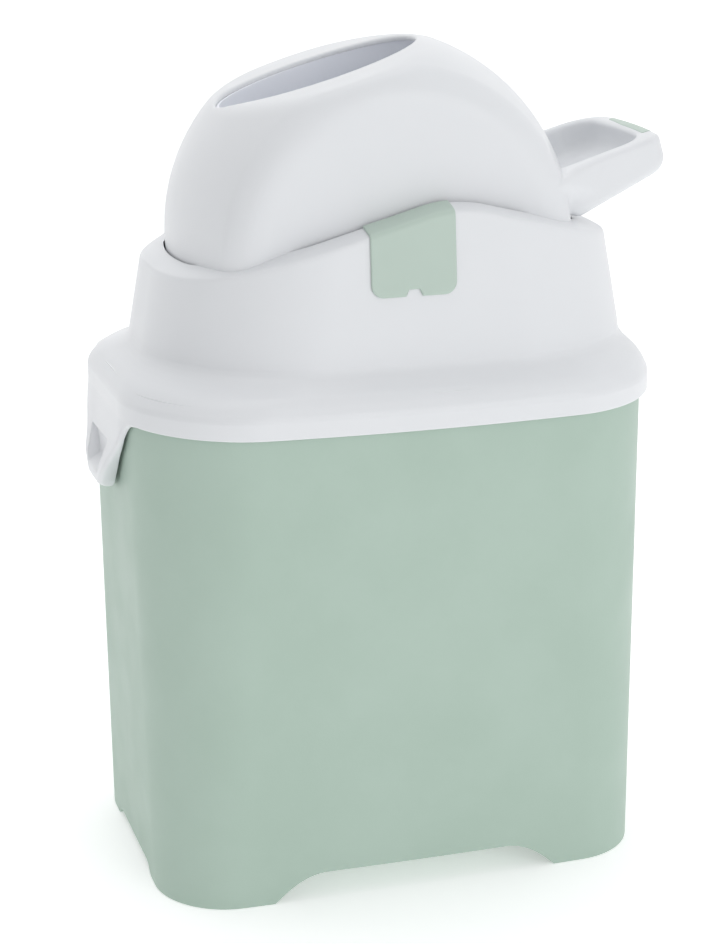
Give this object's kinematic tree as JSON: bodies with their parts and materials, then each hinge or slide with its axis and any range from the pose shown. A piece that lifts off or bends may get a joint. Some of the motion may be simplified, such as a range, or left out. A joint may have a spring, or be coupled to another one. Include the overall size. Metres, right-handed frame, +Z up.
{
  "type": "nappy bin",
  "caption": "Floor-standing nappy bin: green container, white hinged lid with a tall neck, and a turning drum with a flip-over handle and a falling piston",
  "frame": {"origin": "on the floor, under the middle of the bin's bounding box", "axes": "+Z up, +X to the side with the hinge and the handle, +Y to the back"},
  "size_m": [0.391, 0.2808, 0.5608],
  "materials": {
    "sage_body": "satin moulded plastic, sage green",
    "sage_trim": "semi-gloss moulded plastic, sage green",
    "white_gloss": "glossy moulded plastic, cool white",
    "white_inner": "satin moulded plastic, pale lavender grey",
    "grey_plastic": "satin moulded plastic, mid grey",
    "pale_rubber": "soft pale grey sealing rubber",
    "dark_rubber": "soft dark grey sealing rubber",
    "steel": "plain steel",
    "cast_iron": "rough cast iron"
  },
  "bodies": {
    "container": {"container": "sage_body", "bag_ring": "grey_plastic", "hinge_pin": "steel"},
    "lid": {"lid_housing": "white_gloss", "lid_gasket": "pale_rubber", "drum_cradle": "grey_plastic", "drum_seal": "dark_rubber", "cradle_screw_1": "steel", "cradle_screw_2": "steel", "cradle_screw_3": "steel", "cradle_screw_4": "steel", "axle_bush_front": "grey_plastic", "axle_bush_back": "grey_plastic", "axle_clip_front": "sage_trim", "axle_clip_back": "sage_trim"},
    "drum": {"drum_shell": "white_gloss", "drum_cap": "white_gloss", "drum_tube": "white_inner", "axle_front": "white_inner", "axle_back": "white_inner", "axle_screw_front": "steel", "axle_screw_back": "steel", "handle_inlay": "sage_trim"},
    "piston": {"piston_cup_lower": "white_inner", "piston_cup_upper": "white_inner", "piston_seal_lower": "dark_rubber", "piston_seal_upper": "dark_rubber", "piston_weight": "cast_iron", "piston_bolt": "steel"}
  },
  "joints": [
    {"name": "lid_hinge", "type": "hinge", "parent": "container", "child": "lid", "pos_m": [0.18556, 0, 0.321], "axis": [0, 1, 0], "range_deg": [0, 90]},
    {"name": "drum_flip", "type": "hinge", "parent": "lid", "child": "drum", "pos_m": [-0.00239, 0, 0.432], "axis": [0, -1, 0], "range_deg": [0, 162]},
    {"name": "piston_slide", "type": "slide", "parent": "drum", "child": "piston", "axis": [-0.279, 0, 0.9603], "range_m": [0, 0.162]}
  ]
}
